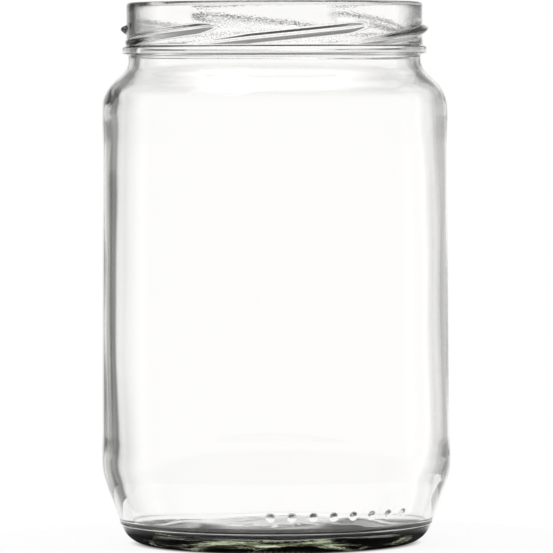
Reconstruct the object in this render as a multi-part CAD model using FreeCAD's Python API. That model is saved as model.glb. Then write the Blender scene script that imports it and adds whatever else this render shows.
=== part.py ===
"""Twist-off glass jar of about 720 ml, with a finish for an 82 mm lug cap.

The jar is one piece of pressed-and-blown glass. It stands on the bearing ring round its base, with the
origin at the centre of that ring and +Z up through the mouth. Every size is in millimetres.

The wall is drawn as one closed section, radius against height, and turned round the axis. The section
runs from the middle of the underside out over the bearing ring and the heel, up past the two rings that
guard the label panel, over the shoulder, the neck and the transfer bead to the rim, and back down the
inside to the middle of the floor. It is a row of corners, each with a rounding radius. A corner between
two walls is worked out as the point where their straights cross.
"""

import FreeCAD
import Part
import math
import os

# Finish: the mouth, and the bead that carries the jar between moulds
HEIGHT = 140.0
FINISH_RADIUS = 38.3
BEAD_RADIUS = 39.35
BEAD_TOP = 128.6
BEAD_FOOT = 126.8
NECK_RADIUS = 37.85
BORE_RADIUS_TOP = 35.3           # the bore narrows slightly downwards, where the plunger drew out
BORE_RADIUS_FOOT = 35.0

# Shoulder
SHOULDER_SLOPE = 47.0            # degrees from upright
SHOULDER_MIDDLE = (40.75, 120.3) # radius and height of a point on its straight
SHOULDER_RING_RADIUS = 44.82

# Label panel, set back between the shoulder ring and the heel ring
PANEL_TOP = 109.2
PANEL_FOOT = 24.8
PANEL_RADIUS_TOP = 44.52
PANEL_RADIUS_FOOT = 44.95
RING_STEP = 1.5                  # height over which each ring falls back to the panel

# Heel
HEEL_RING_RADIUS = 45.25
HEEL_SLOPE = 20.3                # degrees from upright
HEEL_FOOT_RADIUS = 38.34         # where the heel's straight would meet the table

# Underside: a narrow bearing ring round a shallow push-up
BEARING_INNER_RADIUS = 31.0
PUSH_UP_EDGE = (22.5, 3.3)       # radius and height where the push-up levels out
PUSH_UP_MIDDLE = 4.0

# Thickness of the glass, and the inner floor over the push-up
WALL = 2.85
HEEL_WALL = 2.5
FLOOR_CORNER = 4.4               # height where the floor would meet the heel's inner wall
FLOOR_EDGE = (20.0, 7.2)
FLOOR_MIDDLE = 7.9

# Rounding radii
PUSH_UP_ROUND = 14.0
BEARING_ROUND = 1.2
BASE_ROUND = 7.0
HEEL_ROUND = 18.0
RING_ROUND = 3.0
SHOULDER_ROUND = 10.0
NECK_ROUND = 5.0
BEAD_ROUND = 0.45
RIM_OUTER_ROUND = 1.1
RIM_INNER_ROUND = 1.4
FLOOR_CORNER_ROUND = 4.5
FLOOR_EDGE_ROUND = 40.0


def point(radius, height):
    """A point of the section, which lies in the XZ plane."""
    return FreeCAD.Vector(radius, 0, height)


def straight(radius, height, slope):
    """A straight wall of the section: a point on it, and its way up, leaning outwards by an angle."""
    lean = math.radians(slope)
    return point(radius, height), point(math.sin(lean), math.cos(lean))


def inside_of(wall, thickness):
    """The straight that runs beside a wall, nearer the axis by the thickness of the glass."""
    start, way = wall
    return start + point(-way.z, way.x) * thickness, way


def crossing(wall, other):
    """The point where two straights of the section would cross."""
    (start, way), (other_start, other_way) = wall, other
    gap = other_start - start
    along = (gap.x * other_way.z - gap.z * other_way.x) / (way.x * other_way.z - way.z * other_way.x)
    return start + way * along


def radius_at(wall, height):
    """The point where a straight of the section passes a height."""
    return crossing(wall, straight(0, height, 90))


def corner_arc(before, corner, after, radius):
    """The arc of a radius that rounds a corner, touching the straights on both of its sides."""
    back = (before - corner).normalize()
    on = (after - corner).normalize()
    half_angle = back.getAngle(on) / 2
    reach = radius / math.tan(half_angle)
    middle = corner + (back + on).normalize() * (radius / math.sin(half_angle) - radius)
    return Part.Arc(corner + back * reach, middle, corner + on * reach)


def rounded_outline(corners):
    """The closed wire through corners of (point, rounding radius); a radius of 0 leaves one sharp."""
    points = [corner for corner, _ in corners]
    pieces = []
    pen = points[0]
    for i in range(1, len(corners)):
        radius = corners[i][1]
        if radius == 0:
            pieces.append(Part.LineSegment(pen, points[i]))
            pen = points[i]
            continue
        arc = corner_arc(points[i - 1], points[i], points[(i + 1) % len(points)], radius)
        pieces.append(Part.LineSegment(pen, arc.StartPoint))
        pieces.append(arc)
        pen = arc.EndPoint
    pieces.append(Part.LineSegment(pen, points[0]))
    return Part.Wire([piece.toShape() for piece in pieces])


shoulder_wall = straight(*SHOULDER_MIDDLE, -SHOULDER_SLOPE)
heel_wall = straight(HEEL_FOOT_RADIUS, 0, HEEL_SLOPE)
panel_slope = math.degrees(math.atan2(PANEL_RADIUS_TOP - PANEL_RADIUS_FOOT, PANEL_TOP - PANEL_FOOT))
panel_wall = straight(PANEL_RADIUS_FOOT, PANEL_FOOT, panel_slope)


def underside():
    """Corners from the middle of the push-up out to the heel's foot, where the jar stands."""
    return [
        (point(0, PUSH_UP_MIDDLE), 0),
        (point(*PUSH_UP_EDGE), PUSH_UP_ROUND),
        (point(BEARING_INNER_RADIUS, 0), BEARING_ROUND),
        (radius_at(heel_wall, 0), BASE_ROUND),
    ]


def outer_wall():
    """Corners up the outside, from the heel ring over the label panel to the neck."""
    return [
        (crossing(heel_wall, straight(HEEL_RING_RADIUS, 0, 0)), HEEL_ROUND),
        (point(HEEL_RING_RADIUS, PANEL_FOOT - RING_STEP), RING_ROUND),
        (point(PANEL_RADIUS_FOOT, PANEL_FOOT), RING_ROUND),
        (point(PANEL_RADIUS_TOP, PANEL_TOP), RING_ROUND),
        (point(SHOULDER_RING_RADIUS, PANEL_TOP + RING_STEP), RING_ROUND),
        (crossing(shoulder_wall, straight(SHOULDER_RING_RADIUS, 0, 0)), SHOULDER_ROUND),
        (crossing(shoulder_wall, straight(NECK_RADIUS, 0, 0)), NECK_ROUND),
    ]


def finish():
    """Corners of the bead and the rim."""
    return [
        (point(NECK_RADIUS, BEAD_FOOT), 0),
        (point(BEAD_RADIUS, BEAD_FOOT), BEAD_ROUND),
        (point(BEAD_RADIUS, BEAD_TOP), BEAD_ROUND),
        (point(FINISH_RADIUS, BEAD_TOP), 0),
        (point(FINISH_RADIUS, HEIGHT), RIM_OUTER_ROUND),
        (point(BORE_RADIUS_TOP, HEIGHT), RIM_INNER_ROUND),
    ]


def inner_wall():
    """Corners down the inside, from the foot of the bore to the middle of the floor."""
    shoulder = inside_of(shoulder_wall, WALL)
    panel = inside_of(panel_wall, WALL)
    heel = inside_of(heel_wall, HEEL_WALL)
    return [
        (crossing(shoulder, straight(BORE_RADIUS_FOOT, 0, 0)), NECK_ROUND + WALL),
        (crossing(shoulder, panel), SHOULDER_ROUND - WALL),
        (crossing(heel, panel), HEEL_ROUND - HEEL_WALL),
        (radius_at(heel, FLOOR_CORNER), FLOOR_CORNER_ROUND),
        (point(*FLOOR_EDGE), FLOOR_EDGE_ROUND),
        (point(0, FLOOR_MIDDLE), 0),
    ]


def glass_jar():
    """The whole jar: one solid, turned from one section."""
    outline = rounded_outline(underside() + outer_wall() + finish() + inner_wall())
    turned = Part.Face(outline).revolve(FreeCAD.Vector(0, 0, 0), FreeCAD.Vector(0, 0, 1), 360)
    return turned.Solids[0]


jar = glass_jar()
print("valid", jar.isValid(), "glass in cm3", round(jar.Volume / 1000, 1))
os.makedirs("parts", exist_ok=True)
jar.exportStep("parts/glass_jar.step")
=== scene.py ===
"""An empty twist-off glass jar on a white table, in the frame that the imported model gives."""

import bmesh
import bpy
import math
import numpy as np
from mathutils import Matrix, Vector


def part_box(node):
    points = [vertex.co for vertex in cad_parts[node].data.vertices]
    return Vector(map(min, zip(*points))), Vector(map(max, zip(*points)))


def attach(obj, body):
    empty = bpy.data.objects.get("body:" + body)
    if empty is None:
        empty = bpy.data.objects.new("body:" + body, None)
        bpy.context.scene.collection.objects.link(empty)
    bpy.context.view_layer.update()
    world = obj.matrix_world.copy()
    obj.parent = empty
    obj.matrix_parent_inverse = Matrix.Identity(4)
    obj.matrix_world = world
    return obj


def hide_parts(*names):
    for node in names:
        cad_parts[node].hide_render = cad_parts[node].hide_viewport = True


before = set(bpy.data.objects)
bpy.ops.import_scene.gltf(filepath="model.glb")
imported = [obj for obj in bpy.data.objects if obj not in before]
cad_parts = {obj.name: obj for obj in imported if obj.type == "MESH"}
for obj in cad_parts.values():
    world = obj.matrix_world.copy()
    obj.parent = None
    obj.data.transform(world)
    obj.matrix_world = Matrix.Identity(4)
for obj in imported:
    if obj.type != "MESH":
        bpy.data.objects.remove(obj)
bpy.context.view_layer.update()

# ---------------------------------------------------------------------------------------------------
# The jar. One piece of pressed-and-blown soda-lime glass. Its outside is cut by the mould and is true
# to size; its inside is where the air pushed the soft glass, so the wall is thicker at the left than
# at the right and nowhere quite even. The mouth has six lug threads over a transfer bead.

MM = 0.001
jar_low, jar_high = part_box("glass_jar")
height = jar_high[2] - jar_low[2]
heel_ring_radius = (jar_high[0] - jar_low[0]) / 2

AROUND = 320                    # columns of faces round the jar
ARC_STEP = math.radians(14)     # the most that one face of a rounded corner turns
FINISH_RADIUS = 38.3 * MM
RIM_MIDDLE = 37.45 * MM
BORE_RADIUS = 36.0 * MM         # at the rim; the bore draws in downwards
BEARING_RADIUS = 31.0 * MM      # inner edge of the ring that the jar stands on
HEEL_FOOT_RADIUS = 38.34 * MM
HEEL_LEAN = math.tan(math.radians(20.3))
HEEL_FOOT_TOP = 5.7 * MM        # a fine raised line runs just below this height


def mm(*sizes):
    """Sizes given in millimetres."""
    return tuple(size * MM for size in sizes)


def heel_radius(z):
    """Radius of the straight of the heel at a height."""
    return HEEL_FOOT_RADIUS + HEEL_LEAN * z


def corner_arc(before, corner, after, rounding, step):
    """Points of the arc that rounds a corner, no further apart than a step."""
    back = (before - corner).normalized()
    on = (after - corner).normalized()
    half_angle = back.angle(on) / 2
    turned = math.pi - 2 * half_angle
    middle = corner + (back + on).normalized() * rounding / math.sin(half_angle)
    begin = corner + back * rounding / math.tan(half_angle)
    side = 1 if back.cross(on) < 0 else -1
    pieces = max(2, math.ceil(turned / ARC_STEP), math.ceil(turned * rounding / step))
    spokes = [Matrix.Rotation(side * turned * i / pieces, 2) for i in range(pieces + 1)]
    return [middle + spoke @ (begin - middle) for spoke in spokes]


def rounded(corners):
    """Rows of (radius, height) along corners of (radius, height, rounding, longest step after it)."""
    rows = [Vector(corners[0][:2])]
    longest = corners[0][3]
    for before, here, after in zip(corners, corners[1:], corners[2:] + [None]):
        arc = [Vector(here[:2])]
        if after is not None and here[2] > 0:
            arc = corner_arc(Vector(before[:2]), arc[0], Vector(after[:2]), here[2], here[3])
        gap = (arc[0] - rows[-1]).length
        pieces = max(1, math.ceil(gap / longest - 0.01))
        rows += [rows[-1].lerp(arc[0], i / pieces) for i in range(1, pieces + 1)]
        rows += arc[1:]
        longest = here[3]
    return np.array([tuple(row) for row in rows])


outside = rounded([
    mm(0, 5.2, 0, 4),                                           # middle of the push-up
    mm(22.5, 4.5, 12, 2),                                       # where the push-up levels out
    (BEARING_RADIUS, *mm(0, 1.2, 0.45)),
    (HEEL_FOOT_RADIUS, *mm(0, 7.0, 0.9)),
    (heel_radius(5.1 * MM), *mm(5.1, 0, 0.3)),
    (heel_radius(5.4 * MM) + 0.2 * MM, *mm(5.4, 0, 0.3)),       # crest of the raised line
    (heel_radius(HEEL_FOOT_TOP), HEEL_FOOT_TOP, *mm(0, 1.2)),
    (heel_ring_radius, (heel_ring_radius - HEEL_FOOT_RADIUS) / HEEL_LEAN, *mm(18, 1.4)),
    (heel_ring_radius, *mm(22.6, 12, 1.2)),
    mm(44.95, 27.6, 25, 5.5),                                   # foot of the label panel
    mm(44.52, 104.2, 80, 1.2),                                  # top of the label panel
    mm(44.8, 111.0, 12, 1.0),                                   # shoulder ring
    mm(44.82, 116.46, 11, 1.0),                                 # foot of the shoulder
    mm(37.85, 123.0, 5, 0.6),                                   # top of the shoulder
    mm(37.85, 126.25, 0.4, 0.3),                                # neck
    mm(39.35, 126.8, 0.35, 0.35),                               # foot of the transfer bead
    mm(39.35, 128.4, 0.3, 0.3),                                 # top of the transfer bead
    (FINISH_RADIUS, *mm(128.85, 0.3, 0.18)),
    (FINISH_RADIUS, *mm(135.2, 0, 0.9)),                        # above the lug threads
    (FINISH_RADIUS, height, *mm(0.9, 0.3)),
    (RIM_MIDDLE, height, *mm(0, 0.3)),
])
inside = rounded([
    (RIM_MIDDLE, height, *mm(0, 0.3)),
    (BORE_RADIUS, height, *mm(1.4, 1.3)),
    mm(34.9, 127.5, 10, 1.2),                                   # foot of the drawn-in bore
    mm(35.0, 121.9, 8, 1.0),                                    # top of the shoulder
    mm(41.1, 116.0, 6, 1.4),                                    # foot of the shoulder
    mm(41.5, 106.0, 12, 1.6),
    mm(41.95, 96.0, 60, 2.6),
    mm(42.3, 19.8, 15.5, 1.4),                                  # top of the heel
    mm(36.9, 3.8, 3.2, 0.8),                                    # corner of the floor
    mm(29, 5.7, 20, 1.6),
    mm(18, 6.9, 30, 2.0),
    mm(0, 7.3, 0, 2.0),                                         # middle of the floor
])


class Wire:
    """A socket of a node tree. Sums written with it add the Math nodes that work them out."""

    def __init__(self, tree, socket=None):
        self.tree = tree
        self.socket = socket

    def node(self, kind, settings, sockets, out=0):
        """A new node of a kind: its settings are made first, then its sockets are filled or linked."""
        made = self.tree.nodes.new(kind)
        for name, value in settings.items():
            setattr(made, name, value)
        for name, value in sockets.items():
            if isinstance(value, Wire):
                self.tree.links.new(value.socket, made.inputs[name])
            else:
                made.inputs[name].default_value = value
        return Wire(self.tree, made.outputs[out]) if made.outputs else None

    def math(self, operation, *values):
        """A Math node on this value, or on the values given."""
        return self.node("ShaderNodeMath", {"operation": operation}, dict(enumerate(values or [self])))

    def vector(self, operation, first, second=(0, 0, 0), out="Vector"):
        """A Vector Math node."""
        return self.node("ShaderNodeVectorMath", {"operation": operation}, {0: first, 1: second}, out)

    def greater(self, other):
        """The greater of two values."""
        return self.math("MAXIMUM", self, other)

    def fade(self, start, end):
        """0 at the start, 1 at the end, and smooth between."""
        limits = {"Value": self, "From Min": start, "From Max": end}
        return self.node("ShaderNodeMapRange", {"interpolation_type": "SMOOTHSTEP"}, limits)

    def ramp(self, start, end):
        """0 up to the start, 1 from the end on, and straight between."""
        return self.node("ShaderNodeMapRange", {}, {"Value": self, "From Min": start, "From Max": end})

    def band(self, start, full, last, end):
        """1 from full to last, and 0 before the start and after the end."""
        return self.fade(start, full) * self.fade(end, last)

    def blend(self, one, other):
        """A colour mixed from two, all of the other where this value is 1."""
        return self.node("ShaderNodeMix", {"data_type": "RGBA"}, {0: self, 6: one, 7: other}, 2)

    def noise(self, place, scale, detail):
        """Noise on a place."""
        settings = {"Vector": place, "Scale": scale, "Detail": detail, "Roughness": 0.6}
        return self.node("ShaderNodeTexNoise", {}, settings, "Fac")

    def __add__(self, other):
        return self.math("ADD", self, other)

    def __sub__(self, other):
        return self.math("SUBTRACT", self, other)

    def __rsub__(self, other):
        return self.math("SUBTRACT", other, self)

    def __mul__(self, other):
        return self.math("MULTIPLY", self, other)

    def __truediv__(self, other):
        return self.math("DIVIDE", self, other)

    def __neg__(self):
        return self.math("MULTIPLY", self, -1)

    def __pow__(self, power):
        return self.math("POWER", self, power)

    def __lt__(self, other):
        return self.math("LESS_THAN", self, other)

    def __gt__(self, other):
        return self.math("GREATER_THAN", self, other)

    __radd__ = __add__
    __rmul__ = __mul__


MOUNDS = [                              # of the floor inside: middle, spread both ways, and rise
    mm(20, -14, 8, 8, 2.2),
    mm(-24, -15, 7, 7, 1.5),
]
OLIVE = (0.9, 0.95, 0.74, 1)            # of the thick glass of the base
PAINTED_STREAK_SHADE = (0.05, 0.055, 0.03, 1)    # painted dark streaks, where the base throws light back inside itself
# Painted grey shade where the mounds of the floor inside rise.
PAINTED_MOUND_SHADE = (0.5, 0.52, 0.45, 1)
MOUND_SHADE_SPREAD = 1.3                      # of the painted grey shade, against the spread of the mound itself
GRAIN_DEPTH = 0.017 * MM
RIPPLE_DEPTH = 0.03 * MM

# Heights and radii between which each of these comes in, from nothing to whole
GRAIN_FOOT = mm(128.5, 130.5)
GRAIN_EDGE = mm(37.0, 36.8)
RIPPLE_TOP = mm(4.2, 3.4)
OLIVE_TOP = mm(4.1, 3.5)
MOUND_SHADE_FOOT = mm(4.2, 5.2)
MOUND_SHADE_EDGE = mm(37, 35)

glass = bpy.data.materials.new("clear soda-lime glass")
glass.use_nodes = True
glass.node_tree.nodes.clear()
body = Wire(glass.node_tree)
spot = body.node("ShaderNodeTexCoord", {}, {}, "Object")
level = body.node("ShaderNodeSeparateXYZ", {}, {0: spot}, "Z")
flat_spot = body.vector("MULTIPLY", spot, (1, 1, 0))
reach = body.vector("LENGTH", flat_spot, out="Value")

# The plunger leaves the bore finely grained, and the base sets with a ripple.
bore = level.fade(*GRAIN_FOOT) * reach.fade(*GRAIN_EDGE)
grain = body.noise(spot, 2000, 1)
grained = {"Strength": bore + 0.02, "Distance": GRAIN_DEPTH, "Height": grain}
relief = body.node("ShaderNodeBump", {}, grained, "Normal")
sole = level.fade(*RIPPLE_TOP)
ripple = body.noise(body.vector("MULTIPLY", spot, (1, 1, 6)), 330, 2)
rippled = {"Strength": sole, "Distance": RIPPLE_DEPTH, "Height": ripple, "Normal": relief}
relief = body.node("ShaderNodeBump", {}, rippled, "Normal")

# The colour of the outer skin low down: olive, with streaks of painted shade, and greyer with painted shade
# under the mounds.
shade_streaks = body.noise(body.vector("MULTIPLY", spot, (1, 1, 9)), 110, 3)
thick = level.fade(*OLIVE_TOP)
# Painted shade: dark streaks over the olive of the base.
painted_shade = thick * (0.15 + 0.85 * shade_streaks.fade(0.56, 0.44))
colour = painted_shade.blend(thick.blend((1, 1, 1, 1), OLIVE), PAINTED_STREAK_SHADE)
# Painted shade: a soft grey over each mound, deepest over the tallest.
mound_shade = 0.0
tallest = max(rise for x, y, wide, deep, rise in MOUNDS)
for x, y, wide, deep, rise in MOUNDS:
    aside = body.vector("SUBTRACT", flat_spot, (x, y, 0))
    aside = body.vector("DIVIDE", aside, (MOUND_SHADE_SPREAD * wide, MOUND_SHADE_SPREAD * deep, 1))
    mound_shade = body.vector("LENGTH", aside, out="Value").fade(1, 0.1) * (rise / tallest) + mound_shade
mound_shade = mound_shade * level.fade(*MOUND_SHADE_FOOT) * reach.fade(*MOUND_SHADE_EDGE)

clear = {
    "Base Color": mound_shade.blend(colour, PAINTED_MOUND_SHADE),
    "Roughness": 0.0,
    "IOR": 1.52,
    "Transmission Weight": 1.0,
    "Normal": relief,
}
surface = body.node("ShaderNodeBsdfPrincipled", {}, clear)
tint = body.node("ShaderNodeVolumeAbsorption", {}, {"Color": (0.6, 0.76, 0.44, 1), "Density": 5.0})
body.node("ShaderNodeOutputMaterial", {}, {"Surface": surface, "Volume": tint})


def tool(name, inputs, work):
    """A group of nodes that does a piece of work on named values, as a function for other trees."""
    tree = bpy.data.node_groups.new(name, "GeometryNodeTree")
    for value in inputs:
        tree.interface.new_socket(value, in_out="INPUT", socket_type="NodeSocketFloat")
    tree.interface.new_socket("Result", in_out="OUTPUT", socket_type="NodeSocketFloat")
    given = tree.nodes.new("NodeGroupInput")
    result = work(*[Wire(tree, given.outputs[value]) for value in inputs])
    result.node("NodeGroupOutput", {}, {"Result": result})

    def use(*values):
        return values[0].node("GeometryNodeGroup", {"node_tree": tree}, dict(zip(inputs, values)))

    return use


def waves(name, seed, count, folds, lengths, rise):
    """A tool for gentle waves over an angle and a length, of the sizes and the rise asked for."""
    dice = np.random.default_rng(seed)
    around = dice.integers(folds[0], folds[1] + 1, count)
    along = dice.uniform(lengths[0], lengths[1], count) * dice.choice([-1, 1], count)
    starts = dice.uniform(0, 2 * np.pi, count)

    def surface(angle, place):
        total = 0.0
        for fold, length, start in zip(around.tolist(), along.tolist(), starts.tolist()):
            total = (angle * fold + place * (2 * math.pi / length) + start).math("COSINE") + total
        return total * (rise / math.sqrt(count / 2))

    return tool(name, ("Angle", "Place"), surface)


def soft_greater(one, other):
    """The greater of two values, rounded off where they are about the same."""
    rounding = 1 + (-(one - other).math("ABSOLUTE")).math("EXPONENT")
    return one.greater(other) + rounding.math("LOGARITHM", rounding, math.e)


# The lug threads are six ridges that start at the bead and rise to the right, with a pointed tail.
THREAD_STARTS = 6
THREAD_FIRST_START = -124.3     # degrees
THREAD_SPAN = 72.0              # degrees
THREAD_RISE = 24 * MM / 360     # for each degree
THREAD_FIRST_CREST = 128.9 * MM
THREAD_PROUD = 1.5 * MM
THREAD_LAND = 0.3 * MM          # half the height of the crest
THREAD_UPPER_SLOPE = 1.8
THREAD_LOWER_SLOPE = 1.19
THREAD_RUN_IN = 0.34            # of its span, over which it grows from nothing
THREAD_RUN_OUT = 0.13           # of its span, over which it ends
THREAD_EDGE = 0.05 * MM         # how softly its faces meet
THREAD_ZONE = (128.65 * MM, 135.3 * MM)     # heights between which the finish carries them


def thread_ridge(angle, z, stand, start):
    """How far one lug thread stands proud, from where it starts in degrees."""
    run = angle * math.degrees(1) - start
    run = run.math("FLOORED_MODULO", run, 360)
    share = run / THREAD_SPAN
    run_in = share.ramp(0, THREAD_RUN_IN) ** 1.3
    run_out = (share.ramp(1, 1 - THREAD_RUN_OUT) * (math.pi / 2)).math("SINE")
    proud = stand * run_in * run_out / THREAD_EDGE
    above = (z - THREAD_FIRST_CREST - run * THREAD_RISE) / THREAD_EDGE
    land = THREAD_LAND / THREAD_EDGE
    upper = proud - (above - land) * THREAD_UPPER_SLOPE
    lower = proud + (above + land) * THREAD_LOWER_SLOPE
    ridge = -soft_greater(soft_greater(-upper, -lower), -proud)
    return soft_greater(ridge, 0) * THREAD_EDGE * (share < 1)


lug_thread = tool("lug thread", ("Angle", "Height", "Proud", "Start"), thread_ridge)

SEAM_PROUD = 0.04 * MM
SEAM_WIDTH = 0.006              # sine of the angle over which a seam falls away
SEAM_ZONE = (5.69 * MM, 126 * MM)
KNURL_DEPTH = 0.35 * MM         # of the fine bars across the bearing ring, one to every other column
OFF_CENTRE = 0.45 * MM          # how far the inside stands over to the right
SWAY = 0.25 * MM                # how much further in the body, on average
SWAY_SWING = 0.2 * MM           # how much that comes and goes with height
SWAY_LENGTH = 56 * MM

# Heights or radii over which each of these comes in: nothing at the first, whole from the second on
KNURL_EDGE = mm(31.1, 31.4)
KNURL_TOP = mm(2.2, 0.8)
PUSH_UP_FOOT = mm(1, 3)
PUSH_UP_MIDDLE = mm(0, 6)
WALL_TOP = mm(122, 110)
WALL_MIDDLE = mm(0, 30)
FLOOR_TOP = mm(12, 6)
FLOOR_MIDDLE = mm(0, 8)
MOUND_EDGE = mm(35, 30)
SHIFT_TOP = mm(125, 111)
SWAY_TOP = mm(100, 60)
SWAY_FOOT = mm(14, 24)

sole_waves = waves("uneven push-up", 21, 24, (3, 20), mm(4, 12), 0.12 * MM)
panel_waves = waves("uneven wall", 5, 24, (1, 5), mm(40, 120), 0.05 * MM)
fine_waves = waves("finely uneven wall", 8, 30, (5, 16), mm(25, 80), 0.006 * MM)
floor_waves = waves("uneven floor", 12, 24, (2, 9), mm(8, 24), 0.08 * MM)

# A tree of nodes turns the section: a cylinder has a ring of corners for each point of the section
# between its ends, and a fan to a corner on the axis at either end. Each corner takes the radius and
# the height of its point, and then what the mould and the air did to the glass there.
jar_sizes = {
    "Columns": AROUND,
    "Thread proud": THREAD_PROUD,
    "Seam proud": SEAM_PROUD,
    "Knurl depth": KNURL_DEPTH,
    "Inside off centre": OFF_CENTRE,
}
turning = bpy.data.node_groups.new("turned and blown glass", "GeometryNodeTree")
turning.interface.new_socket("Section", in_out="INPUT", socket_type="NodeSocketGeometry")
size_keys = {}
for name, size in jar_sizes.items():
    kind = "NodeSocketInt" if isinstance(size, int) else "NodeSocketFloat"
    size_keys[name] = turning.interface.new_socket(name, in_out="INPUT", socket_type=kind).identifier
turning.interface.new_socket("Jar", in_out="OUTPUT", socket_type="NodeSocketGeometry")
form = Wire(turning)
given = turning.nodes.new("NodeGroupInput")
columns, thread_proud, seam_proud, knurl_depth, off_centre = [
    Wire(turning, given.outputs[name]) for name in jar_sizes]
section = Wire(turning, given.outputs["Section"])

section_points = outside.tolist() + inside[1:].tolist()
rings = len(section_points) - 2
drum = {"Vertices": columns, "Side Segments": rings - 1, "Radius": 1.0, "Depth": rings - 1.0}
drum = form.node("GeometryNodeMeshCylinder", {"fill_type": "TRIANGLE_FAN"}, drum, "Mesh")
place = form.node("GeometryNodeInputPosition", {}, {})
unit_x = form.node("ShaderNodeSeparateXYZ", {}, {0: place}, "X")
unit_y = form.node("ShaderNodeSeparateXYZ", {}, {0: place}, "Y")
up = form.node("ShaderNodeSeparateXYZ", {}, {0: place}, "Z")
column = (up.math("ARCTAN2", unit_y, unit_x) * columns / (2 * math.pi)).math("ROUND")
angle = column * (2 * math.pi) / columns
on_axis = (unit_x * unit_x + unit_y * unit_y) < 0.5
row = (up + ((rings - 1) / 2 + 1)).math("ROUND") + on_axis * up.math("SIGN")
turned_point = {"Geometry": section, "Value": place, "Index": row}
turned_point = form.node("GeometryNodeSampleIndex", {"data_type": "FLOAT_VECTOR"}, turned_point, "Value")
radius = form.node("ShaderNodeSeparateXYZ", {}, {0: turned_point}, "X")
z = form.node("ShaderNodeSeparateXYZ", {}, {0: turned_point}, "Z")
inner = row > len(outside) - 0.5

# The mould's side: the threads, the two seams, the knurled ring and the uneven push-up
on_finish = (z > THREAD_ZONE[0]) * (z < THREAD_ZONE[1]) * (radius > FINISH_RADIUS - 0.01 * MM)
threads = 0.0
for i in range(THREAD_STARTS):
    start = THREAD_FIRST_START + 360 / THREAD_STARTS * i
    threads = lug_thread(angle, z, thread_proud, start).greater(threads)
off_seam = angle.math("SINE") / SEAM_WIDTH
seam = (-(off_seam * off_seam)).math("EXPONENT") * (z > SEAM_ZONE[0]) * (z < SEAM_ZONE[1])
moulded = on_finish * threads + seam * seam_proud
bar = column.math("FLOORED_MODULO", column, 2) < 0.5
bar = bar * radius.ramp(*KNURL_EDGE) * z.ramp(*KNURL_TOP)
pushed_up = z.ramp(*PUSH_UP_FOOT) * radius.ramp(*PUSH_UP_MIDDLE) * (radius < BEARING_RADIUS)
moulded_up = bar * knurl_depth + pushed_up * sole_waves(angle, radius)

# The air's side: off centre and slightly uneven, with low mounds on the floor
blown = z.ramp(*WALL_TOP) * radius.ramp(*WALL_MIDDLE)
blown = radius + blown * (panel_waves(angle, z) + fine_waves(angle, z))
rise = floor_waves(angle, blown) * blown.ramp(*FLOOR_MIDDLE)
for mound_x, mound_y, wide, deep, high in MOUNDS:
    across = (blown * angle.math("COSINE") - mound_x) / wide
    along = (blown * angle.math("SINE") - mound_y) / deep
    mound = (-(across * across + along * along)).math("EXPONENT")
    rise = rise + mound * blown.ramp(*MOUND_EDGE) * high
rise = rise * z.ramp(*FLOOR_TOP)
blown_z = z + rise
sway = SWAY - (blown_z * (2 * math.pi / SWAY_LENGTH)).math("COSINE") * SWAY_SWING
sway = sway * blown_z.ramp(*SWAY_TOP) * blown_z.ramp(*SWAY_FOOT)
shift = inner * (1 - on_axis) * (off_centre * blown_z.ramp(*SHIFT_TOP) + sway)

radius = radius + (1 - inner) * moulded + inner * (blown - radius)
z = z + (1 - inner) * moulded_up + inner * rise
x = radius * angle.math("COSINE") + shift
y = radius * angle.math("SINE")
corner = form.node("ShaderNodeCombineXYZ", {}, {0: x, 1: y, 2: z})
jar_form = form.node("GeometryNodeSetPosition", {}, {"Geometry": drum, "Position": corner})
jar_form = form.node("GeometryNodeRealizeInstances", {}, {"Geometry": jar_form})
jar_form = form.node("GeometryNodeSetMaterial", {}, {"Geometry": jar_form, "Material": glass})
form.node("NodeGroupOutput", {}, {"Jar": jar_form})

section_mesh = bpy.data.meshes.new("section")
section_mesh.from_pydata([(out, 0, high) for out, high in section_points], [], [])
jar = bpy.data.objects.new("jar", section_mesh)
bpy.context.collection.objects.link(jar)
sweep = jar.modifiers.new("turned and blown", "NODES")
sweep.node_group = turning
for name, size in jar_sizes.items():
    sweep[size_keys[name]] = size
jar_mesh = bpy.data.meshes.new_from_object(jar.evaluated_get(bpy.context.evaluated_depsgraph_get()))
jar.modifiers.clear()
jar.data = jar_mesh
bpy.data.meshes.remove(section_mesh)
jar_mesh.name = "jar"

# Eight round mould marks stand in a row low on the front.
DOTS = 8
DOT_FIRST = -2.0                # degrees to the right of the front
DOT_LAST = 50.0
DOT_HEIGHT = 9.7 * MM
DOT_RADIUS = 1.05 * MM
DOT_PROUD = 0.3 * MM
DOT_REACH = 2.0 * MM            # of the finely divided faces


def raise_dot(shell, bearing):
    """Divide the heel's faces round a place in the front finely, and raise a low round dot there."""
    way_out = Vector((math.sin(bearing), -math.cos(bearing), 0))
    centre = way_out * heel_radius(DOT_HEIGHT) + Vector((0, 0, DOT_HEIGHT))
    proud = (way_out - Vector((0, 0, HEEL_LEAN))).normalized()
    aside = proud.cross(way_out).normalized()
    upward = aside.cross(proud)

    def reached(corner):
        offset = corner.co - centre
        return max(abs(offset.dot(way)) for way in (aside, upward, proud)) < DOT_REACH

    near = {corner for corner in shell.verts if reached(corner)}
    sides = [side for side in shell.edges if side.verts[0] in near and side.verts[1] in near]
    bmesh.ops.subdivide_edges(shell, edges=sides, cuts=3, use_grid_fill=True)
    for corner in shell.verts:
        if reached(corner):
            corner.co.xy *= heel_radius(corner.co.z) / corner.co.xy.length
            away = (corner.co - centre).length / DOT_RADIUS
            corner.co += proud * DOT_PROUD * max(1 - away * away, 0)


shell = bmesh.new()
shell.from_mesh(jar_mesh)
for i in range(DOTS):
    raise_dot(shell, math.radians(DOT_FIRST + (DOT_LAST - DOT_FIRST) * i / (DOTS - 1)))
shell.to_mesh(jar_mesh)
shell.free()
jar_mesh.shade_smooth()

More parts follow.
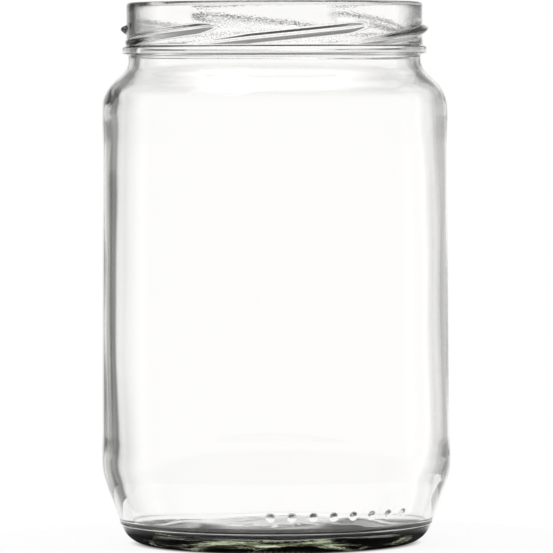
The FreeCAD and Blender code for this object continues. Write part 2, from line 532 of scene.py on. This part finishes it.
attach(jar, "root")
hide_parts("glass_jar")

# ---------------------------------------------------------------------------------------------------
# The room. It is plain white to the camera. The glass sees a pattern in it, as in a product studio:
# white low down and in the middle, with darker gaps to the left and right beyond the jar, which draw
# the edges of clear glass. The left gap is the darker one.

PANEL_WHITE = 1.03
FRONT_GLOOM = 0.3               # how bright the room in front of the jar is to what only reflects
LAMP_GLINT = 1.8                # what the lamp overhead adds to that

world = bpy.data.worlds.new("white room")
bpy.context.scene.world = world
world.use_nodes = True
world.node_tree.nodes.clear()
room = Wire(world.node_tree)
way = room.node("ShaderNodeTexCoord", {}, {}, "Generated")
way_x = room.node("ShaderNodeSeparateXYZ", {}, {0: way}, "X")
way_y = room.node("ShaderNodeSeparateXYZ", {}, {0: way}, "Y")
way_z = room.node("ShaderNodeSeparateXYZ", {}, {0: way}, "Z")
length = (way_x * way_x + way_y * way_y + 1e-6).math("SQRT")
tilt = way_z.math("ABSOLUTE")
turned = way_x.math("ABSOLUTE") / length        # 0 straight ahead or behind, 1 square to the side
far_side = (way_y / length).fade(-0.05, 0.25)
right = way_x.fade(-0.05, 0.05)

# From the middle outwards, how bright the far side is
left_side = 1 - 0.3 * turned.fade(0.17, 0.36) - 0.65 * turned.fade(0.36, 0.5) + 0.95 * turned.fade(0.6, 0.7)
left_side = left_side - 0.3 * turned.band(0.72, 0.8, 0.87, 0.95)
right_side = 1 - 0.5 * turned.fade(0.22, 0.4) + 0.5 * turned.fade(0.74, 0.86)
shade = 1 - (left_side + right * (right_side - left_side))

# The low panels reach some way up and further down, and less far up beyond the jar.
lift = turned.band(0.05, 0.35, 0.55, 0.7) * way_z.fade(0.0, 0.25) * (0.32 - 0.1 * right)
upward_reach = (tilt + far_side * lift).fade(0.5, 0.22)
downward_reach = tilt.fade(0.6, 0.47)
low_panel = upward_reach + way_z.fade(0.02, -0.02) * (downward_reach - upward_reach)
low_panel = (1 - far_side * shade) * low_panel
dip = far_side * turned.band(0.1, 0.3, 0.55, 0.7) * way_z.band(-0.12, -0.22, -0.28, -0.36)
low_panel = low_panel * (1 - dip * (0.8 - 0.4 * right))

# Dimmer panels stand higher, and the ceiling is white.
diagonal = turned.band(0.3, 0.5, 0.9, 0.98) * (0.1 + 0.35 * right)
high_panel = (0.5 + far_side * (diagonal - 0.5)) * tilt.band(0.08, 0.18, 0.55, 0.72)
gap_light = 0.04 + 0.21 * way_z.fade(-0.1, 0.2) + 0.75 * way_z.fade(0.8, 0.93)
studio = PANEL_WHITE * (gap_light + (1 - gap_light) * low_panel.greater(high_panel))

camera_ray = room.node("ShaderNodeLightPath", {}, {}, "Is Camera Ray")
glossy_ray = room.node("ShaderNodeLightPath", {}, {}, "Is Glossy Ray")
glass_ray = room.node("ShaderNodeLightPath", {}, {}, "Is Transmission Ray")
from_glass = glossy_ray.greater(glass_ray)
plain = camera_ray.greater(0.9)
strength = plain + from_glass * (studio - plain)

# What only reflects sees a dark room in front of the jar and a bright lamp above it.
reflected = glossy_ray * (1 - glass_ray)
overhead = way_z.fade(0.7, 0.92)
gloom = (FRONT_GLOOM - studio) * (1 - far_side) * (1 - overhead)
strength = strength + reflected * (gloom + LAMP_GLINT * overhead)
warmth = from_glass.blend((1, 1, 1, 1), (1, 0.99, 0.984, 1))
sky = room.node("ShaderNodeBackground", {}, {"Color": warmth, "Strength": strength})
room.node("ShaderNodeOutputWorld", {}, {"Surface": sky})

# ---------------------------------------------------------------------------------------------------
# The table. A round white top, a little wider than the jar's shadow. It glows as white as the room does,
# apart from where the jar stands on it: there the glow fades out, which paints the shadow under the base.
# Its dark grey paint under the glow takes only a faint real shadow from the lamp and the room.

TABLE_RADIUS = 80 * MM
TABLE_SIDES = 80
TABLE_GAP = 0.05 * MM           # below the jar
TABLE_PAINT = (0.1, 0.1, 0.1, 1)
TABLE_GLOW = 0.9                # paint and glow together come to white
PAINTED_SHADOW_EDGE = mm(33, 38.5)      # radii over which the painted shadow under the base ends
GLASS_PAINTED_SHADOW_EDGE = mm(40, 50)         # the same painted shadow, for what the glass sees

table_mesh = bpy.data.meshes.new("table")
bearings = [2 * math.pi * i / TABLE_SIDES for i in range(TABLE_SIDES)]
table_edge = [(TABLE_RADIUS * math.cos(a), TABLE_RADIUS * math.sin(a), 0) for a in bearings]
table_mesh.from_pydata(table_edge, [], [tuple(range(TABLE_SIDES))])
table = bpy.data.objects.new("table", table_mesh)
bpy.context.collection.objects.link(table)
table.location.z = jar_low[2] - TABLE_GAP

white = bpy.data.materials.new("white table")
white.use_nodes = True
white.node_tree.nodes.clear()
top = Wire(white.node_tree)
camera_ray = top.node("ShaderNodeLightPath", {}, {}, "Is Camera Ray")
glossy_ray = top.node("ShaderNodeLightPath", {}, {}, "Is Glossy Ray")
glass_ray = top.node("ShaderNodeLightPath", {}, {}, "Is Transmission Ray")
place = top.node("ShaderNodeTexCoord", {}, {}, "Object")
from_middle = top.vector("LENGTH", place, out="Value")
# The glow fades out near the middle: a painted shadow under the jar, for the camera and, wider, for the
# glass.
seen_plainly = camera_ray * from_middle.fade(*PAINTED_SHADOW_EDGE)
seen_in_glass = (1 - camera_ray) * glossy_ray.greater(glass_ray) * from_middle.fade(*GLASS_PAINTED_SHADOW_EDGE)
paint = top.node("ShaderNodeBsdfDiffuse", {}, {"Color": TABLE_PAINT})
glow = {"Color": (1, 1, 1, 1), "Strength": (seen_plainly + seen_in_glass) * TABLE_GLOW}
glow = top.node("ShaderNodeEmission", {}, glow)
both = top.node("ShaderNodeAddShader", {}, {0: paint, 1: glow})
top.node("ShaderNodeOutputMaterial", {}, {"Surface": both})
table_mesh.materials.append(white)

# ---------------------------------------------------------------------------------------------------
# The lamp. One large square softbox hangs above the jar, to its left and in front of it, and casts a
# faint soft shadow on the table's paint.

LAMP_PLACE = Vector((-0.5, -0.4, 1.3))
LAMP_SIDE = 0.9
LAMP_WATTS = 2.5

lamp = bpy.data.lights.new("overhead softbox", "AREA")
lamp.size = LAMP_SIDE
lamp.energy = LAMP_WATTS
softbox = bpy.data.objects.new("overhead softbox", lamp)
bpy.context.collection.objects.link(softbox)
softbox.location = LAMP_PLACE
softbox.rotation_euler = (Vector((0, 0, height / 2)) - LAMP_PLACE).to_track_quat("-Z", "Y").to_euler()

# ---------------------------------------------------------------------------------------------------
# The camera. It stands level with the jar's shoulder and a long way off, so that the jar fills the
# frame, and leans by a fraction of a degree.

DISTANCE = 1.41
EYE = Vector((0.29 * MM, -DISTANCE, 121.4 * MM))
AIM = Vector((0.29 * MM, 0, 68.99 * MM))
FRAME_WIDTH = 143.2 * MM        # what the frame takes in at the jar's axis
ROLL = math.radians(-0.22)

lens = bpy.data.cameras.new("camera")
lens.sensor_width = 36
lens.lens = lens.sensor_width * DISTANCE / FRAME_WIDTH
lens.clip_start = 0.01
lens.clip_end = 20
camera = bpy.data.objects.new("camera", lens)
bpy.context.collection.objects.link(camera)
looking = (AIM - EYE).to_track_quat("-Z", "Y").to_matrix()
camera.rotation_euler = (looking @ Matrix.Rotation(ROLL, 3, "Z")).to_euler()
camera.location = EYE
bpy.context.scene.camera = camera
bpy.context.scene.view_settings.view_transform = "Standard"
